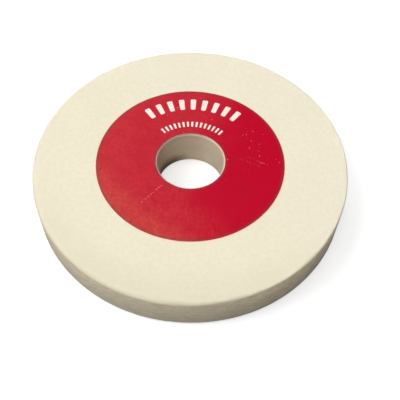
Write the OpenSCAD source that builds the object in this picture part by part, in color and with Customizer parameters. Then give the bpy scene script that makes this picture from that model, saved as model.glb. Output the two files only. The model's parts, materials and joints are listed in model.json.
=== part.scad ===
// Flat polishing wheel of pressed wool felt with a round printed paper label on one face.
// The wheel lies on its back face. The origin is the centre of the bore at the back face,
// and +Z runs along the bore, out of the labelled face.

/* [Felt disc] */
// Outside diameter of the wheel
wheel_d = 150; // [100:1:300]
// Width of the wheel across its rim
wheel_w = 20; // [8:0.5:60]
// Diameter of the bore that goes over the spindle's flange hub
bore_d = 32; // [10:0.5:40]
// Radius of the softened corners between the rim and the two faces
corner_r = 2; // [0.3:0.1:3]
// Radius of the softened edges at both ends of the bore
bore_edge_r = 0.7; // [0.2:0.1:1.5]

/* [Label] */
// Outside diameter of the label
label_d = 90; // [60:1:92]
// Thickness of the adhesive film under the paper
adhesive_t = 0.03; // [0.02:0.01:0.1]
// Thickness of the paper
paper_t = 0.12; // [0.08:0.01:0.3]
// Thickness of the printed ink, with its varnish
ink_t = 0.02; // [0.01:0.01:0.05]

/* [Printed marks] */
// Number of bold blocks in the outer row
bold_count = 9; // [3:1:15]
// Number of fine blocks in the inner row
fine_count = 15; // [5:1:21]
// Angle that each row of blocks spans
row_arc = 82; // [40:1:160]
// Share of each block's pitch that the block fills
block_fill = 0.46; // [0.3:0.02:0.8]
// Turn of the two rows round the label, from +Y
label_turn = -2; // [-180:1:180]

/* [Hidden] */
$fn = 180;

wheel_r = wheel_d / 2;
bore_r = bore_d / 2;
label_r = label_d / 2;
label_hole_r = bore_r + bore_edge_r;
label_ring = label_r - label_hole_r;

// Each layer of the label lies on the one below it.
adhesive_z = wheel_w;
paper_z = adhesive_z + adhesive_t;
ink_z = paper_z + paper_t;

// Where the two rows of blocks start and end, as shares of the label's ring from its hole outwards.
bold_row = [0.555, 0.80];
fine_row = [0.155, 0.27];

// One half of a section through the felt, with a softened corner at each of its four edges.
module felt_section() {
    translate([bore_r + bore_edge_r, 0])
        square([wheel_r - corner_r - bore_r - bore_edge_r, wheel_w]);
    translate([bore_r, bore_edge_r])
        square([2 * bore_edge_r, wheel_w - 2 * bore_edge_r]);
    translate([wheel_r - 2 * corner_r, corner_r])
        square([2 * corner_r, wheel_w - 2 * corner_r]);
    for (z = [bore_edge_r, wheel_w - bore_edge_r])
        translate([bore_r + bore_edge_r, z])
            circle(bore_edge_r);
    for (z = [corner_r, wheel_w - corner_r])
        translate([wheel_r - corner_r, z])
            circle(corner_r);
}

// A flat ring of one layer of the label, from z upwards.
module label_layer(z, thickness) {
    translate([0, 0, z])
        rotate_extrude()
            translate([label_hole_r, 0])
                square([label_ring, thickness]);
}

// A row of equal blocks along an arc, as cutters that pass right through the ink.
module block_row(count, row) {
    pitch = row_arc / count;
    for (i = [0 : count - 1])
        rotate([0, 0, 90 + label_turn - row_arc / 2 + (i + (1 - block_fill) / 2) * pitch])
            rotate_extrude(angle = block_fill * pitch)
                translate([label_hole_r + row[0] * label_ring, ink_z - ink_t])
                    square([(row[1] - row[0]) * label_ring, 3 * ink_t]);
}

module felt_disc() {
    color([0.94, 0.90, 0.80])
        rotate_extrude()
            felt_section();
}

module label_adhesive() {
    color([0.93, 0.89, 0.72])
        label_layer(adhesive_z, adhesive_t);
}

module label_paper() {
    color([0.98, 0.90, 0.85])
        label_layer(paper_z, paper_t);
}

// The red print covers the whole label, apart from the blocks, where the bare paper shows.
module label_ink() {
    color([0.76, 0.08, 0.18])
        difference() {
            label_layer(ink_z, ink_t);
            block_row(bold_count, bold_row);
            block_row(fine_count, fine_row);
        }
}

felt_disc();
label_adhesive();
label_paper();
label_ink();
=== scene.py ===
import json
import math

import bpy
import numpy as np
from mathutils import Matrix, Vector, noise
from mathutils.geometry import delaunay_2d_cdt


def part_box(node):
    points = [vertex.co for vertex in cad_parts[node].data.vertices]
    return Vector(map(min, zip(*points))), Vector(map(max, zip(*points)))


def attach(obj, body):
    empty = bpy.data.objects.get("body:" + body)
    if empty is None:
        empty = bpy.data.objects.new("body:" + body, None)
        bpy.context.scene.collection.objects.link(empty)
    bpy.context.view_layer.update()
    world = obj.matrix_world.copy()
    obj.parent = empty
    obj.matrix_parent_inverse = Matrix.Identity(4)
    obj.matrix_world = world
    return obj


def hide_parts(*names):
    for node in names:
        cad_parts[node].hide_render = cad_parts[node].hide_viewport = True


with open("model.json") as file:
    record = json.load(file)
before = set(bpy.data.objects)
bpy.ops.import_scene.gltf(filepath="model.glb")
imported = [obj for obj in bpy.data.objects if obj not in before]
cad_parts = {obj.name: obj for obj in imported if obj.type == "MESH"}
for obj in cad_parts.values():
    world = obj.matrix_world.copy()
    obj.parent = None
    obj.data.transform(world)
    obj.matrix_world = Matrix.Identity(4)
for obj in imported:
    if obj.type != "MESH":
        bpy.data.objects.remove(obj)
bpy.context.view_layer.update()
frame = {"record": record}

MM = 0.001

# ---------------------------------------------------------------- sizes, from the frame
mounts = {m["name"]: m for m in frame["record"]["mounts"]}
felt_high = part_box("felt_disc")[1]
ink_low, ink_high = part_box("label_ink")
paper_low, paper_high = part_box("label_paper")
glue_low, glue_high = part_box("label_adhesive")
wheel_r = felt_high.x
wheel_w = felt_high.z
bore_r = mounts["bore"]["dims"]["r_mm"] * MM
bore_edge_r = (wheel_w - mounts["bore"]["dims"]["length_mm"] * MM) / 2
label_r = ink_high.x
label_hole_r = bore_r + bore_edge_r
label_ring = label_r - label_hole_r
# Radius of the rim's softened corners, as in the CAD.
corner_r = 2.0 * MM

# ---------------------------------------------------------------- chosen values
# The floor looks white, but throws back only this share of the light, as a dull bench does.
FLOOR_BOUNCE = 0.32
# A faint glow, which only the camera sees, keeps the floor pale where the wheel shades it.
FLOOR_GLOW = 0.58

# Lights: name, azimuth from +X towards +Y and elevation in degrees, and power in W.
LIGHTS = [
    ("overhead_light", 180, 90, 60),
    ("left_light", 180, 50, 103),
    ("back_light", 110, 28, 48),
    ("front_light", 270, 28, 46),
]
LIGHT_SIZE = 2.4
LIGHT_DISTANCE = 4.0
FLOOR_RADIUS = 4.0

# The photographer's view: distance in wheel radii, lens in mm and angles in degrees.
CAMERA_DISTANCE = 4.1015
CAMERA_LENS = 57.80
CAMERA_ELEVATION = 52.223
CAMERA_PAN = 0.874
CAMERA_TILT = -3.515
CAMERA_ROLL = 0.429

# The two rows of unprinted blocks: count, inner and outer radius, and radius of their corners.
ROW_ARC = math.radians(82)
ROW_MIDDLE = math.radians(88)
BLOCK_FILL = 0.46
BOLD_ROW = (9, label_hole_r + 0.555 * label_ring, label_hole_r + 0.80 * label_ring, 0.7 * MM)
FINE_ROW = (15, label_hole_r + 0.155 * label_ring, label_hole_r + 0.27 * label_ring, 0.3 * MM)

# Where the print is worn through. A place on the label is a turn in degrees and a share of the way from
# its hole to its edge. A scratch is (start, end, nicks, half width in mm where it is widest).
SCRATCHES = [
    ((228, 0.09), (228, 0.61), 13, 0.34),
    ((12, 0.07), (-7, 0.64), 20, 0.11),
    ((5, 0.38), (-4, 0.73), 12, 0.18),
]
# Patches of specks: (range of turns, range of shares, range of radii in mm, count).
SPECK_PATCHES = [
    ((2, 7), (0.03, 0.06), (0.30, 0.36), 1),
    ((-5, 35), (0.40, 0.95), (0.20, 0.30), 11),
    ((100, 300), (0.60, 0.90), (0.16, 0.18), 2),
    ((-12, 42), (0.15, 0.93), (0.07, 0.15), 34),
    ((60, 330), (0.12, 0.93), (0.07, 0.15), 22),
]

# Seeds of the random draws.
FUZZ_SEED = 11
WEAR_SEED = 5


# ---------------------------------------------------------------- mesh helpers
def new_piece(name, points, faces, material):
    """A mesh object that rides on the wheel's one body."""
    mesh = bpy.data.meshes.new(name)
    mesh.from_pydata([tuple(p) for p in points], [], faces)
    mesh.polygons.foreach_set("use_smooth", [True] * len(mesh.polygons))
    mesh.materials.append(material)
    mesh.update()
    piece = bpy.data.objects.new(name, mesh)
    bpy.context.scene.collection.objects.link(piece)
    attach(piece, "root")
    return piece


def cloud(point, size, octaves=3):
    """Smooth noise from about -1 to 1, with features of this size in metres."""
    return noise.fractal(Vector(point) / size, 1.0, 2.1, octaves, noise_basis="PERLIN_ORIGINAL")


def smoothstep(low, high, x):
    """0 at low and 1 at high, smoothly, and held beyond them."""
    t = min(max((x - low) / (high - low), 0.0), 1.0)
    return t * t * (3 - 2 * t)


def face_height(x, y):
    """How far the felt's labelled face rises or dips at x, y. The label follows it."""
    return 0.07 * MM * cloud((x, y, 0.3), 22 * MM, 2)


# ---------------------------------------------------------------- felt
def wool_relief(point):
    """How far the pressed wool's surface rises or dips at a point."""
    return 0.035 * MM * cloud(point, 3.2 * MM, 3)


def worn_corner(turn):
    """Radius of the rim's softened corners, which are less worn on the right."""
    return corner_r * (1 - 0.5 * smoothstep(-0.15, 0.55, math.cos(turn)))


def felt_section(corner):
    """Points (r, z) round the felt's section for this radius of the rim's corners."""
    def arc(centre_r, centre_z, radius, start, end, steps):
        """Points on an arc between two angles in degrees."""
        turns = np.radians(np.linspace(start, end, steps))
        return [(centre_r + radius * math.cos(t), centre_z + radius * math.sin(t)) for t in turns]

    inner, outer = bore_r + bore_edge_r, wheel_r - corner
    low, high = bore_edge_r, wheel_w - bore_edge_r
    section = arc(inner, high, bore_edge_r, 180, 90, 6)
    section += [(r, wheel_w) for r in np.linspace(inner, label_r - 1 * MM, 16)[1:]]
    section += [(r, wheel_w) for r in np.linspace(label_r - 1 * MM, outer, 40)[1:-1]]
    section += arc(outer, wheel_w - corner, corner, 90, 0, 8)
    section += [(wheel_r, z) for z in np.linspace(wheel_w - corner, corner, 25)[1:-1]]
    section += arc(outer, corner, corner, 0, -90, 8)
    section += [(r, 0.0) for r in np.linspace(outer, inner, 60)[1:-1]]
    section += arc(inner, low, bore_edge_r, 270, 180, 6)
    section += [(bore_r, z) for z in np.linspace(low, high, 24)[1:-1]]
    return section[::-1]


def section_normals(section):
    """Outward normals of the closed section."""
    p = np.array(section)
    along = np.roll(p, -1, 0) - np.roll(p, 1, 0)
    normals = np.stack([along[:, 1], -along[:, 0]], 1)
    return normals / np.linalg.norm(normals, axis=1)[:, None]


def felt_point(r, z, nr, nz, turn):
    """A point of the felt's surface, moved by its relief, and pressed flat under the label."""
    c, s = math.cos(turn), math.sin(turn)
    x, y = r * c, r * s
    push = wool_relief((x, y, z))
    push += abs(nr) * 0.05 * MM * cloud((x, y, 2.2 * z), 5 * MM, 3)
    corner = abs(nr * nz) * 2
    push += corner * 0.16 * MM * cloud((x, y, z), 9 * MM, 3)
    if nz < -0.05:
        push = -abs(push) * 0.8
    lift = face_height(x, y) * smoothstep(0, 1, nz)
    under_label = nz > 0.9 and label_hole_r + 0.3 * MM < r < label_r - 0.3 * MM
    if under_label:
        push, lift = -0.02 * MM, face_height(x, y) - 0.03 * MM
    return x + nr * push * c, y + nr * push * s, max(z + nz * push + lift, 0.0)


def felt_body(material, around=420):
    """The felt disc with its bore, turned in this many steps round the axis."""
    points = []
    for i in range(around):
        turn = 2 * math.pi * i / around
        section = felt_section(worn_corner(turn))
        normals = section_normals(section)
        points += [felt_point(r, z, nr, nz, turn) for (r, z), (nr, nz) in zip(section, normals)]
    n = len(section)
    faces = []
    for i in range(around):
        j = (i + 1) % around
        faces += [(i * n + k, j * n + k, j * n + (k + 1) % n, i * n + (k + 1) % n) for k in range(n)]
    piece = new_piece("felt_body", points, faces, material)
    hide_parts("felt_disc")
    return piece


def fuzz_roots(rng):
    """Random (position, normal) pairs where loose wool fibres leave the felt."""
    roots = []

    def add(count, r_range, z_range, normal, on_corner=0.0):
        """Strews roots over a band, drawn in by on_corner times the rim's corner radius."""
        nr, nz = normal
        for _ in range(count):
            turn = rng.uniform(0, 2 * math.pi)
            share = rng.uniform(0, 1)
            r = math.sqrt(r_range[0] ** 2 + share * (r_range[1] ** 2 - r_range[0] ** 2))
            z = rng.uniform(*z_range)
            shrink = on_corner * worn_corner(turn)
            r, z = r - shrink, z - math.copysign(shrink, nz)
            c, s = math.cos(turn), math.sin(turn)
            roots.append(((r * c, r * s, z), (nr * c, nr * s, nz)))

    # In turn: the face outside the label, the rim, its upper and lower corners, the bore and its lip.
    inner, outer = label_r + 0.3 * MM, wheel_r - corner_r
    slant = math.sqrt(0.5)
    add(2600, (inner, outer), (wheel_w, wheel_w), (0, 1))
    add(1500, (wheel_r, wheel_r), (corner_r, wheel_w - corner_r), (1, 0))
    add(700, (wheel_r, wheel_r), (wheel_w, wheel_w), (slant, slant), 1 - slant)
    add(400, (wheel_r, wheel_r), (0.0, 0.0), (slant, -slant), 1 - slant)
    add(400, (bore_r, bore_r), (bore_edge_r, wheel_w - bore_edge_r), (-1, 0))
    lip_r, lip_z = bore_r + 0.2 * MM, wheel_w - 0.2 * MM
    add(260, (lip_r, lip_r), (lip_z, lip_z), (-slant, slant))
    return roots


def fibre(root, normal, rng, rings, sides):
    """Rings of points along one short bent fibre that starts on the felt and thins to its end."""
    n = Vector(normal)
    start = Vector(root) + n * (wool_relief(root) - 0.02 * MM)
    if n.z > 0.5:
        start.z += face_height(root[0], root[1])
    side = n.cross(Vector((0.3, -0.5, 0.81))).normalized()
    side.rotate(Matrix.Rotation(rng.uniform(0, 2 * math.pi), 3, n))
    across = n.cross(side)
    length = rng.uniform(0.6, 2.2) * MM
    bend = rng.normal(0, 1.1)
    lift = rng.uniform(0.05, 0.30) * MM
    thick = rng.uniform(0.010, 0.018) * MM
    points = []
    for k in range(rings):
        t = k / (rings - 1)
        reach = length * t
        centre = start + side * (reach * math.cos(bend * t)) + across * (reach * math.sin(bend * t))
        centre += n * (lift * (t ** 1.5) + thick)
        taper = thick * (1 - 0.6 * t)
        for m in range(sides):
            turn = 2 * math.pi * m / sides
            point = centre + across * (taper * math.cos(turn)) + n * (taper * math.sin(turn))
            points.append((point.x, point.y, max(point.z, 0.0)))
    return points


def tube_faces(first, rings, sides):
    """Faces of a closed tube whose rings of points start at the index first."""
    faces = []
    for k in range(rings - 1):
        a = first + k * sides
        b = a + sides
        faces += [(a + m, a + (m + 1) % sides, b + (m + 1) % sides, b + m) for m in range(sides)]
    last = first + (rings - 1) * sides
    faces.append(tuple(first + m for m in reversed(range(sides))))
    faces.append(tuple(last + m for m in range(sides)))
    return faces


def felt_fuzz(material, rings=5, sides=3):
    """Short loose wool fibres that lie on the felt and lift a little at their ends."""
    rng = np.random.default_rng(FUZZ_SEED)
    points, faces = [], []
    for root, normal in fuzz_roots(rng):
        faces += tube_faces(len(points), rings, sides)
        points += fibre(root, normal, rng, rings, sides)
    piece = new_piece("felt_fuzz", points, faces, material)
    return piece


# ---------------------------------------------------------------- label
def ring_points(radius, count):
    """Points spread evenly on a circle."""
    turns = np.linspace(0, 2 * math.pi, count + 1)[:-1]
    return [(radius * math.cos(t), radius * math.sin(t)) for t in turns]


def block_outline(r_in, r_out, middle, half, corner, steps=5):
    """Outline of one block of a row: a piece of a ring with rounded corners."""
    outline = []
    corners = [(r_out, 1, 0), (r_out, -1, 90), (r_in, -1, 180), (r_in, 1, 270)]
    for r, side, start in corners:
        inward = -1 if r == r_out else 1
        centre_r = r + inward * corner
        centre_turn = middle + side * -(half - corner / centre_r)
        for k in range(steps + 1):
            a = math.radians(start + 90 * k / steps)
            r_here = centre_r + corner * math.sin(a)
            turn = centre_turn - corner * math.cos(a) / centre_r
            outline.append((r_here * math.cos(turn), r_here * math.sin(turn)))
    return outline


def block_outlines():
    """Outlines of the two rows of blocks that are left unprinted."""
    outlines = []
    for count, r_in, r_out, corner in (BOLD_ROW, FINE_ROW):
        pitch = ROW_ARC / count
        for i in range(count):
            middle = ROW_MIDDLE - ROW_ARC / 2 + (i + 0.5) * pitch
            outlines.append(block_outline(r_in, r_out, middle, BLOCK_FILL * pitch / 2, corner))
    return outlines


def label_place(turn, share):
    """The point on the label at a turn in degrees and a share of the way from its hole to its edge."""
    r = label_hole_r + share * label_ring
    return Vector((r * math.cos(math.radians(turn)), r * math.sin(math.radians(turn))))


def scratch_spots(rng):
    """Outlines of the nicks that make up each scratch, which is widest about two thirds along."""
    outlines = []
    for start, end, nicks, half_width in SCRATCHES:
        start, end = label_place(*start), label_place(*end)
        whole = (end - start).length
        way = (end - start).normalized()
        across = Vector((-way.y, way.x))
        for k in range(nicks):
            share = (k + rng.uniform(0.0, 1.0)) / nicks
            length = rng.uniform(0.15, 1.15) * whole / nicks
            swell = 0.4 + 0.6 * math.exp(-((share - 0.7) / 0.2) ** 2)
            width = half_width * MM * swell * rng.uniform(0.5, 1.4)
            centre = start + way * (share * whole) + across * rng.normal(0, 0.10 * MM)
            turns = np.linspace(0, 2 * math.pi, 11)[:-1]
            along, over = way * (length / 2), across * width
            outlines.append([tuple(centre + along * math.cos(a) + over * math.sin(a)) for a in turns])
    return outlines


def speck_spots(rng):
    """Rough outlines of the small specks strewn over the patches."""
    outlines = []
    for turns, shares, radii, count in SPECK_PATCHES:
        for _ in range(count):
            centre = label_place(rng.uniform(*turns), rng.uniform(*shares))
            radius = rng.uniform(*radii) * MM
            turns_round = np.linspace(0, 2 * math.pi, 8)[:-1]
            reach = radius * rng.uniform(0.6, 1.2, len(turns_round))
            spokes = [Vector((r * math.cos(a), r * math.sin(a))) for r, a in zip(reach, turns_round)]
            outlines.append([tuple(centre + spoke) for spoke in spokes])
    return outlines


def wear_outlines():
    """Outlines of the spots where the print is worn through to the paper, clear of the blocks."""
    rng = np.random.default_rng(WEAR_SEED)
    outlines = scratch_spots(rng) + speck_spots(rng)
    return apart(outlines, block_outlines())


def apart(outlines, kept, gap=0.25 * MM):
    """The outlines that keep this gap from each other and from the kept ones."""
    chosen = []
    placed = [np.array(outline) for outline in kept]
    for outline in outlines:
        points = np.array(outline)
        nearest = min(np.linalg.norm(points[:, None] - other[None], axis=2).min() for other in placed)
        covered = any(inside(points, [tuple(p) for p in other]).any() for other in placed)
        if nearest > gap and not covered:
            chosen.append(outline)
            placed.append(points)
    return chosen


def inside(points, outline):
    """Which of the points are inside the outline, by counting crossings."""
    x, y = points[:, 0], points[:, 1]
    result = np.zeros(len(points), bool)
    for (x0, y0), (x1, y1) in zip(outline, outline[1:] + outline[:1]):
        crosses = (y0 > y) != (y1 > y)
        with np.errstate(divide="ignore", invalid="ignore"):
            at = x0 + (y - y0) * (x1 - x0) / (y1 - y0)
        result ^= crosses & (x < at)
    return result


def fill_points(outer_r, hole_r, pitch):
    """Points spread evenly between a ring's two edges."""
    points = []
    rows = int((outer_r - hole_r) / pitch)
    for k in range(1, rows):
        r = hole_r + (outer_r - hole_r) * k / rows
        count = int(2 * math.pi * r / pitch)
        turns = [2 * math.pi * (m + 0.5 * (k % 2)) / count for m in range(count)]
        points += [(r * math.cos(turn), r * math.sin(turn)) for turn in turns]
    return np.array(points)


def sheet_plan(outer_r, hole_r, cuts, pitch):
    """Points and triangles of a flat ring with the cuts left open."""
    flat, edges = [], []
    for loop in [ring_points(outer_r, 360), ring_points(hole_r, 180)] + cuts:
        first = len(flat)
        flat += loop
        edges += [(first + k, first + (k + 1) % len(loop)) for k in range(len(loop))]
    fill = fill_points(outer_r, hole_r, pitch)
    for cut in cuts:
        fill = fill[~inside(fill, cut)]
    flat += [tuple(p) for p in fill]
    weld = 1e-8
    found, _, triangles, _, _, _ = delaunay_2d_cdt([Vector(p) for p in flat], edges, [], 0, weld)
    plane = np.array([tuple(p) for p in found])
    # The triangulation also fills the hole and the cuts, so the triangles there are dropped.
    middles = plane[np.array(triangles)].mean(1)
    radii = np.hypot(*middles.T)
    kept = (radii < outer_r * 0.99999) & (radii > hole_r)
    for cut in cuts:
        kept &= ~inside(middles, cut)
    return tidy_plan(plane, [t for t, keep in zip(triangles, kept) if keep])


def tidy_plan(plane, triangles):
    """The points that the triangles use, and the triangles wound anticlockwise."""
    used = sorted({v for t in triangles for v in t})
    new = {v: k for k, v in enumerate(used)}
    turned = []
    for a, b, c in triangles:
        (ax, ay), (bx, by), (cx, cy) = plane[a], plane[b], plane[c]
        area = (bx - ax) * (cy - ay) - (by - ay) * (cx - ax)
        turned.append((new[a], new[b], new[c]) if area > 0 else (new[a], new[c], new[b]))
    return plane[used], turned


def open_edges(triangles):
    """The edges that belong to one triangle only."""
    edges = dict.fromkeys(edge for t in triangles for edge in zip(t, t[1:] + t[:1]))
    return [(a, b) for a, b in edges if (b, a) not in edges]


def layer(name, low, high, outer_r, hole_r, cuts, material, pitch=1.1 * MM):
    """A thin closed sheet between two heights that follows the felt's face, with these cuts."""
    plane, top = sheet_plan(outer_r, hole_r, cuts, pitch)
    n = len(plane)
    lifts = [face_height(x, y) + edge_droop(math.hypot(x, y)) for x, y in plane]
    points = [(x, y, z + lift) for z in (high, low) for (x, y), lift in zip(plane, lifts)]
    rims = open_edges(top)
    faces = top + [(c + n, b + n, a + n) for a, b, c in top]
    faces += [(b, a, a + n, b + n) for a, b in rims]
    piece = new_piece(name, points, faces, material)
    crisp_cuts(piece.data, {frozenset(edge) for a, b in rims for edge in ((a, b), (a + n, b + n))})
    return piece


def crisp_cuts(mesh, cuts):
    """Keeps a sheet's shading flat up to its cut edges."""
    for edge in mesh.edges:
        edge.use_edge_sharp = frozenset(edge.vertices) in cuts


def edge_droop(r):
    """The die presses the label's cut edges down a little."""
    outer = smoothstep(label_r - 0.5 * MM, label_r, r)
    inner = smoothstep(label_hole_r + 0.5 * MM, label_hole_r, r)
    return -0.015 * MM * (outer + inner)


# ---------------------------------------------------------------- materials
class Shading:
    """A material's node tree, with short calls to add and join nodes."""

    def __init__(self, name):
        self.material = bpy.data.materials.new(name)
        self.material.use_nodes = True
        self.tree = self.material.node_tree
        self.shader = self.tree.nodes["Principled BSDF"]
        self.place = self.add("ShaderNodeTexCoord").outputs["Object"]
        self.x, self.y, self.z = self.add("ShaderNodeSeparateXYZ", Vector=self.place).outputs

    def add(self, kind, settings=None, **inputs):
        """A new node. Inputs are named with _ for each space."""
        made = self.tree.nodes.new(kind)
        for key, value in (settings or {}).items():
            setattr(made, key, value)
        for key, value in inputs.items():
            self.put(value, made.inputs[key.replace("_", " ")])
        return made

    def put(self, value, socket):
        """Links another node's output to the socket, or sets a plain value there."""
        if isinstance(value, bpy.types.NodeSocket):
            self.tree.links.new(value, socket)
        else:
            socket.default_value = value

    def stretched(self, scale, turn=0.0):
        """Object coordinates turned about Z and then scaled."""
        turned = self.add("ShaderNodeMapping", Vector=self.place, Rotation=(0, 0, turn))
        return self.add("ShaderNodeMapping", Vector=turned.outputs[0], Scale=scale).outputs[0]

    def noise(self, size, detail=3.0, rough=0.55, distortion=0.0, vector=None):
        """Noise with features of this size in metres, or of 1 along a given vector."""
        made = self.add("ShaderNodeTexNoise", Vector=vector or self.place, Scale=1 / size,
                        Detail=detail, Roughness=rough, Distortion=distortion)
        return made.outputs["Fac"]

    def span(self, value, from_low, from_high, to_low=0.0, to_high=1.0):
        """value mapped from one range to another, smoothly and held at its ends."""
        made = self.add("ShaderNodeMapRange", {"interpolation_type": "SMOOTHSTEP"}, Value=value,
                        From_Min=from_low, From_Max=from_high, To_Min=to_low, To_Max=to_high)
        return made.outputs[0]

    def math(self, operation, a, b=0.0):
        """The result of one arithmetic step on a and b."""
        made = self.add("ShaderNodeMath", {"operation": operation})
        self.put(a, made.inputs[0])
        self.put(b, made.inputs[1])
        return made.outputs[0]

    def mix(self, share, a, b, blend="MIX"):
        """Colours a and b mixed by share."""
        made = self.add("ShaderNodeMix", {"data_type": "RGBA", "blend_type": blend})
        self.put(share, made.inputs[0])
        self.put(a if isinstance(a, bpy.types.NodeSocket) else (*a, 1), made.inputs[6])
        self.put(b if isinstance(b, bpy.types.NodeSocket) else (*b, 1), made.inputs[7])
        return made.outputs[2]

    def tint(self, share, colour, factor):
        """colour, multiplied by factor as far as share says."""
        return self.mix(share, colour, self.mix(1.0, colour, factor, "MULTIPLY"))

    def plus(self, a, b):
        """a plus b."""
        return self.math("ADD", a, b)

    def times(self, a, b):
        """a times b, which for two masks is where both hold."""
        return self.math("MULTIPLY", a, b)

    def bump(self, height, distance, strength=1.0, after=None):
        """A normal bent by a height map, on top of the normal after."""
        made = self.add("ShaderNodeBump", Height=height, Distance=distance, Strength=strength)
        if after is not None:
            self.put(after, made.inputs["Normal"])
        return made.outputs[0]

    def radius(self):
        """Distance from the bore's axis."""
        flat = self.add("ShaderNodeVectorMath", {"operation": "MULTIPLY"})
        self.put(self.place, flat.inputs[0])
        self.put((1, 1, 0), flat.inputs[1])
        length = self.add("ShaderNodeVectorMath", {"operation": "LENGTH"})
        self.put(flat.outputs[0], length.inputs[0])
        return length.outputs["Value"]

    def finish(self, **inputs):
        """Feeds the shader's inputs and gives back the material."""
        for key, value in inputs.items():
            self.put(value, self.shader.inputs[key.replace("_", " ")])
        return self.material


def wool_fibres(wool):
    """Thin lines in four directions, as the fibres of pressed wool lie."""
    fibres = 0.0
    for turn in (0.2, 0.9, 1.7, 2.5):
        streak = wool.noise(1.0, 2.0, 0.5, 0.6, wool.stretched((420, 3600, 3600), turn))
        fibres = wool.math("MAXIMUM", wool.span(streak, 0.50, 0.72), fibres)
    return fibres


def wool_colour(wool, fibres, mottle, grain):
    """Cream with slow clouds, mottling, grain and paler fibres."""
    clouds = wool.noise(22 * MM, 3)
    colour = wool.mix(wool.span(clouds, 0.3, 0.7), (0.820, 0.756, 0.573), (0.846, 0.787, 0.606))
    colour = wool.mix(wool.span(mottle, 0.35, 0.65, 0.45, 0.0), colour, (0.75, 0.685, 0.51))
    colour = wool.mix(wool.span(grain, 0.35, 0.65, 0.25, 0.0), colour, (0.74, 0.67, 0.49))
    return wool.mix(wool.times(fibres, 0.35), colour, (0.90, 0.86, 0.72))


def rim_tint(wool, bands):
    """The rim is streaky, a little warmer, and darker in part by painted shade. It darkens downwards by
    painted shade, less so on the right.
    """
    right = wool.span(wool.x, 10 * MM, 50 * MM)
    height = wool.plus(wool.z, wool.span(bands, 0.3, 0.7, -2 * MM, 2 * MM))
    # The bands make the rim warmer, and darker in part by painted shade.
    tint = wool.mix(wool.span(bands, 0.3, 0.7), (0.73, 0.66, 0.62), (0.98, 0.90, 0.865))
    tint = wool.tint(wool.span(wool.noise(5 * MM, 3), 0.35, 0.65), tint, (1.02, 0.985, 0.945))
    # Painted light: the upper part of the rim is lightened.
    tint = wool.tint(wool.span(height, 0.55 * wheel_w, wheel_w), tint, (1.26, 1.28, 1.25))
    # Painted shade: the rim darkens downwards, less so on the right.
    low = wool.mix(right, (0.54, 0.55, 0.57), (0.72, 0.74, 0.73))
    tint = wool.tint(wool.span(height, 0.75 * wheel_w, 0.0), tint, low)
    # Painted contact shadow along the rim's foot.
    tint = wool.tint(wool.span(wool.z, 2.4 * MM, 0.8 * MM), tint, (0.55, 0.56, 0.58))
    # Painted highlight on the top corner, stronger on the right.
    corner = wool.span(wool.z, wheel_w - 1.7 * MM, wheel_w - 0.8 * MM)
    return wool.mix(corner, tint, wool.mix(right, (1.05, 1.05, 1.05), (1.18, 1.18, 1.18)))


def face_tint(wool):
    """The labelled face is made a little lighter, most of all at the far right, and painted shade
    darkens it a little at the near edge.
    """
    rightwards = wool.plus(wool.times(wool.x, 0.8), wool.times(wool.y, 0.6))
    right = wool.span(rightwards, -20 * MM, 50 * MM)
    tint = wool.mix(right, (1.013, 1.016, 1.020), (1.028, 1.027, 1.052))
    # Painted shade: a little darker along the near edge.
    return wool.mix(wool.span(wool.y, -46 * MM, -74 * MM), tint, (0.983, 0.990, 0.981))


def ring_tint(wool):
    """The bare ring round the bore is stained pink by the print, more deeply at the left and the far
    side, where painted shade also darkens it.
    """
    across = wool.plus(wool.x, wool.times(wool.y, 0.4))
    beyond = wool.math("SUBTRACT", wool.y, wool.times(wool.x, 0.36))
    # Darker at the left and the far side: painted shade on the pink stain.
    tint = wool.mix(wool.span(across, 16 * MM, -10 * MM), (0.93, 0.64, 0.66), (0.80, 0.49, 0.49))
    tint = wool.tint(wool.span(beyond, 8.5 * MM, 17 * MM), tint, (0.71, 0.43, 0.49))
    return wool.mix(wool.span(wool.y, -4 * MM, -13 * MM), tint, (0.97, 0.60, 0.70))


def wall_tint(wool, bands):
    """Painted shade darkens the bore's wall, most on the left, painted light lifts it low down at the
    far side, and a painted shadow makes it nearly black low down at the left.
    """
    across = wool.plus(wool.x, wool.times(wool.y, 0.4))
    # Painted shade: the wall is darker, more so on the left.
    tint = wool.mix(wool.span(across, 10 * MM, -6 * MM), (0.86, 0.77, 0.755), (0.79, 0.69, 0.68))
    # Painted light low down at the far side.
    low_far_painted_light = wool.times(wool.span(wool.z, 12 * MM, 2 * MM), wool.span(wool.y, 9.5 * MM, 14 * MM))
    tint = wool.tint(low_far_painted_light, tint, (1.42, 1.48, 1.55))
    depth = wool.plus(wool.z, wool.span(bands, 0.3, 0.7, -0.7 * MM, 0.7 * MM))
    # Painted shadow, nearly black, low down at the left.
    low_left_painted_shadow = wool.times(wool.span(depth, 8.5 * MM, 2 * MM), wool.span(wool.x, 1 * MM, -10 * MM))
    return wool.mix(low_left_painted_shadow, tint, (0.27, 0.235, 0.22))


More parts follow.
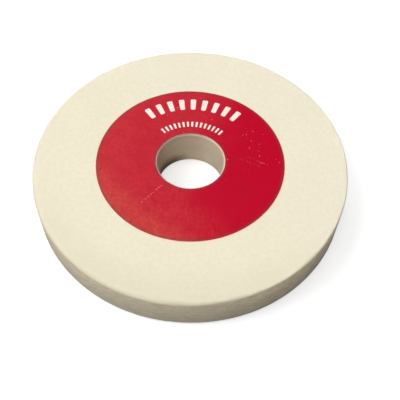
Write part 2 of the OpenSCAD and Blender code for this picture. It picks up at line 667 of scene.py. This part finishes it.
def handled_and_shaded_felt(wool, colour):
    """Felt darker at its left corner, with painted shade along its near edge, and with red bled into it
    round the label.
    """
    radius = wool.radius()
    corner = wool.span(radius, wheel_r - 2.2 * MM, wheel_r - 0.8 * MM)
    corner = wool.times(corner, wool.span(wool.z, wheel_w - 2.5 * MM, wheel_w - 1.3 * MM))
    left_corner = wool.times(corner, wool.span(wool.x, -20 * MM, -wheel_r))
    colour = wool.tint(left_corner, colour, (0.89, 0.895, 0.92))
    off_label = wool.span(radius, label_r - 3 * MM, label_r - 2 * MM)
    bled = wool.times(wool.span(radius, label_r + 1.3 * MM, label_r + 0.1 * MM), off_label)
    bled = wool.times(bled, wool.span(wool.z, 0.4 * wheel_w, 0.6 * wheel_w))
    colour = wool.tint(wool.times(bled, 0.9), colour, (1.10, 0.91, 0.90))
    # Painted shade along the near edge and the near rim, weaker on the right.
    outer_band = wool.span(radius, wheel_r - 19 * MM, wheel_r)
    near_painted_shade = wool.times(outer_band, wool.span(wool.y, 10 * MM, -55 * MM))
    near_painted_shade = wool.times(near_painted_shade, wool.span(wool.x, 45 * MM, 5 * MM, 0.15, 0.5))
    near_painted_shade = wool.times(near_painted_shade, wool.span(wool.z, 0.4 * MM, 1.6 * MM))
    return wool.mix(near_painted_shade, colour, (0.74, 0.675, 0.50))


def felt_material():
    """Cream pressed wool. Its cut sides, where the fibres' ends show, are warmer, and darker in part by
    painted shade.
    """
    wool = Shading("pressed_wool_felt")
    radius = wool.radius()
    fibres = wool_fibres(wool)
    mottle = wool.noise(2.2 * MM, 4, 0.6)
    grain = wool.noise(0.5 * MM, 3, 0.6)
    bands = wool.noise(1.0, 4, 0.65, 0.4, wool.stretched((280, 280, 900)))
    colour = wool_colour(wool, fibres, mottle, grain)
    rim = wool.span(radius, wheel_r - 0.6 * corner_r, wheel_r - 0.2 * corner_r)
    # The rim's tint holds painted light and painted shade.
    colour = wool.tint(rim, colour, rim_tint(wool, bands))
    face = wool.span(wool.z, wheel_w - 1.5 * MM, wheel_w - 0.4 * MM)
    colour = wool.tint(face, colour, face_tint(wool))
    wall = wall_tint(wool, bands)
    in_bore = wool.span(radius, bore_r + 0.5 * bore_edge_r, bore_r + 0.15 * bore_edge_r)
    upper_half = wool.span(wool.z, 0.4 * wheel_w, 0.6 * wheel_w)
    inner = wool.mix(in_bore, wool.mix(upper_half, wall, ring_tint(wool)), wall)
    colour = wool.tint(wool.span(radius, label_hole_r + 0.4 * MM, label_hole_r), colour, inner)
    colour = handled_and_shaded_felt(wool, colour)
    fine = wool.bump(wool.plus(wool.times(fibres, 0.5), wool.times(grain, 0.8)), 0.05 * MM, 0.8)
    relief = wool.bump(mottle, 0.15 * MM, 0.6, fine)
    return wool.finish(Base_Color=colour, Normal=relief, Roughness=0.92, Specular_IOR_Level=0.2,
                       Sheen_Weight=0.1, Sheen_Roughness=0.5)


def fuzz_material():
    """Single fibres of the same wool."""
    fuzz = Shading("loose_wool")
    tint = fuzz.noise(4 * MM, 2)
    colour = fuzz.mix(fuzz.span(tint, 0.3, 0.7), (0.78, 0.71, 0.53), (0.86, 0.80, 0.64))
    return fuzz.finish(Base_Color=colour, Roughness=0.85, Specular_IOR_Level=0.25)


def paper_material():
    """Clean cream paper where the rows of blocks are, and stained by the red ink elsewhere."""
    paper = Shading("label_paper_stock")
    pulp = paper.noise(0.6 * MM, 4, 0.65)
    clean = paper.mix(paper.span(pulp, 0.3, 0.7), (0.90, 0.74, 0.66), (0.95, 0.83, 0.75))
    stained = paper.mix(paper.span(pulp, 0.3, 0.7), (0.92, 0.12, 0.13), (0.95, 0.20, 0.20))
    turn = paper.math("ARCTAN2", paper.y, paper.x)
    off_rows = paper.math("ABSOLUTE", paper.math("SUBTRACT", turn, ROW_MIDDLE))
    in_rows = paper.span(off_rows, ROW_ARC / 2 + 0.04, ROW_ARC / 2 + 0.01)
    colour = paper.mix(in_rows, stained, clean)
    return paper.finish(Base_Color=colour, Normal=paper.bump(pulp, 0.02 * MM, 0.5), Roughness=0.75)


def red_with_fade_and_sheen(ink, streaks):
    """Crimson on the right; lighter on the left and most at the near left, partly faded ink and partly
    painted sheen; streaky in the near half.
    """
    across = ink.plus(ink.x, ink.span(ink.noise(16 * MM, 2), 0.3, 0.7, -3 * MM, 3 * MM))
    above = ink.plus(ink.y, 20 * MM)
    bulge = ink.math("MAXIMUM", ink.times(above, 0.28), ink.times(above, -0.45))
    faded_and_sheen = ink.span(ink.math("SUBTRACT", across, bulge), 13 * MM, -14 * MM)
    bleached_and_sheen = ink.span(ink.plus(across, ink.y), -37 * MM, -61 * MM)
    near_half = ink.span(ink.y, -5 * MM, -34 * MM)
    # Lighter towards the left and the near left: partly fading of the ink, partly painted sheen.
    colour = ink.mix(faded_and_sheen, (0.515, 0.0004, 0.022), (0.552, 0.024, 0.039))
    colour = ink.mix(ink.span(ink.x, -20 * MM, -44 * MM), colour, (0.560, 0.036, 0.044))
    colour = ink.mix(bleached_and_sheen, colour, (0.600, 0.073, 0.058))
    rubbed = ink.times(ink.span(streaks, 0.40, 0.75), ink.times(near_half, 0.5))
    rubbed = ink.times(rubbed, ink.span(faded_and_sheen, 0.0, 0.6, 0.15, 1.0))
    colour = ink.mix(rubbed, colour, (0.57, 0.050, 0.054))
    deep = ink.times(ink.span(streaks, 0.5, 0.28), ink.times(near_half, 0.35))
    return ink.mix(deep, colour, (0.47, 0.004, 0.022))


def print_material():
    """Red ink under a thin varnish, darker where the die pressed its edges."""
    ink = Shading("red_print")
    streaks = ink.noise(1.0, 3, 0.6, 0.5, ink.stretched((900, 220, 220), 0.05))
    grain = ink.noise(0.8 * MM, 3, 0.6)
    tone = ink.noise(7 * MM, 3, 0.6)
    speckle = ink.noise(1.3 * MM, 3, 0.65)
    colour = red_with_fade_and_sheen(ink, streaks)
    colour = ink.mix(ink.span(tone, 0.35, 0.7, 0.0, 0.3), colour, (0.45, 0.004, 0.020))
    colour = ink.mix(ink.span(speckle, 0.35, 0.65, 0.35, 0.0), colour, (0.44, 0.003, 0.016))
    radius = ink.radius()
    outer_edge = ink.span(radius, label_r - 1.7 * MM, label_r - 0.6 * MM)
    inner_edge = ink.span(radius, label_hole_r + 1.7 * MM, label_hole_r + 0.2 * MM)
    pressed = ink.mix(0.05, ink.mix(1.0, colour, (0.66, 0.95, 0.90), "MULTIPLY"), (0.5, 0.35, 0.3))
    colour = ink.mix(ink.math("MAXIMUM", outer_edge, inner_edge), colour, pressed)
    shine = ink.span(ink.plus(grain, ink.times(streaks, 0.5)), 0.5, 1.0, 0.36, 0.50)
    relief = ink.bump(tone, 0.2 * MM, 0.3, ink.bump(grain, 0.02 * MM, 0.5))
    return ink.finish(Base_Color=colour, Normal=relief, Roughness=shine, Specular_IOR_Level=0.07)


def glue_material():
    """Brownish dried adhesive, seen only as a line under the label's edge."""
    glue = Shading("dried_adhesive")
    tone = glue.noise(1.5 * MM, 3)
    colour = glue.mix(glue.span(tone, 0.3, 0.7), (0.60, 0.42, 0.22), (0.72, 0.56, 0.34))
    return glue.finish(Base_Color=colour, Normal=glue.bump(tone, 0.02 * MM, 0.5), Roughness=0.4)


def floor_material():
    """A pale floor. FLOOR_BOUNCE and FLOOR_GLOW say how it differs from plain white."""
    floor = Shading("studio_floor")
    tone = floor.noise(0.25, 2)
    pale = floor.mix(floor.span(tone, 0.3, 0.7), (0.60, 0.60, 0.60), (0.62, 0.62, 0.62))
    seen = floor.add("ShaderNodeLightPath").outputs["Is Camera Ray"]
    colour = floor.mix(seen, (FLOOR_BOUNCE, FLOOR_BOUNCE, FLOOR_BOUNCE), pale)
    return floor.finish(Base_Color=colour, Roughness=0.9, Specular_IOR_Level=0.0,
                        Emission_Color=(1, 1, 1, 1), Emission_Strength=floor.times(seen, FLOOR_GLOW))


# ---------------------------------------------------------------- stage
def soft_light(name, azimuth, elevation, power):
    """A large round light that faces the wheel."""
    turn, rise = math.radians(azimuth), math.radians(elevation)
    way = Vector((math.cos(rise) * math.cos(turn), math.cos(rise) * math.sin(turn), math.sin(rise)))
    lamp = bpy.data.lights.new(name, "AREA")
    lamp.shape = "DISK"
    lamp.size = LIGHT_SIZE
    lamp.energy = power
    holder = bpy.data.objects.new(name, lamp)
    holder.location = way * LIGHT_DISTANCE
    holder.rotation_euler = way.to_track_quat("Z", "Y").to_euler()
    bpy.context.scene.collection.objects.link(holder)


def studio():
    """A wide pale floor, soft lights, and pale air behind that doesn't light the wheel."""
    bpy.ops.mesh.primitive_circle_add(vertices=96, radius=FLOOR_RADIUS, fill_type="NGON",
                                      location=(0, 0, 0))
    floor = bpy.context.object
    floor.name = "studio_floor"
    floor.data.materials.append(floor_material())
    for light in LIGHTS:
        soft_light(*light)
    world = bpy.data.worlds.new("studio_air")
    world.use_nodes = True
    nodes, links = world.node_tree.nodes, world.node_tree.links
    path = nodes.new("ShaderNodeLightPath")
    nodes["Background"].inputs["Color"].default_value = (0.95, 0.95, 0.95, 1)
    links.new(path.outputs["Is Camera Ray"], nodes["Background"].inputs["Strength"])
    bpy.context.scene.world = world
    bpy.context.scene.view_settings.view_transform = "Standard"


def camera():
    """A close view from the front and above, so that the wheel's far side looks smaller."""
    elevation = math.radians(CAMERA_ELEVATION)
    back = Vector((0, -math.cos(elevation), math.sin(elevation)))
    aim = back.to_track_quat("Z", "Y").to_matrix()
    for angle, axis in ((-CAMERA_PAN, "Y"), (CAMERA_TILT, "X"), (CAMERA_ROLL, "Z")):
        aim = aim @ Matrix.Rotation(math.radians(angle), 3, axis)
    data = bpy.data.cameras.new("camera")
    data.lens = CAMERA_LENS
    holder = bpy.data.objects.new("camera", data)
    place = Vector((0, 0, wheel_w)) + back * (CAMERA_DISTANCE * wheel_r)
    holder.matrix_world = Matrix.Translation(place) @ aim.to_4x4()
    bpy.context.scene.collection.objects.link(holder)
    bpy.context.scene.camera = holder


# ---------------------------------------------------------------- the wheel
camera()
studio()
felt_body(felt_material())
felt_fuzz(fuzz_material())

glue = layer("glue_film", glue_low.z, glue_high.z, label_r, label_hole_r, [], glue_material())
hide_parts("label_adhesive")
paper = layer("paper_disc", paper_low.z, paper_high.z, label_r, label_hole_r, [], paper_material())
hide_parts("label_paper")
worn = block_outlines() + wear_outlines()
printed = layer("red_print", ink_low.z, ink_high.z, label_r, label_hole_r, worn, print_material())
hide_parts("label_ink")
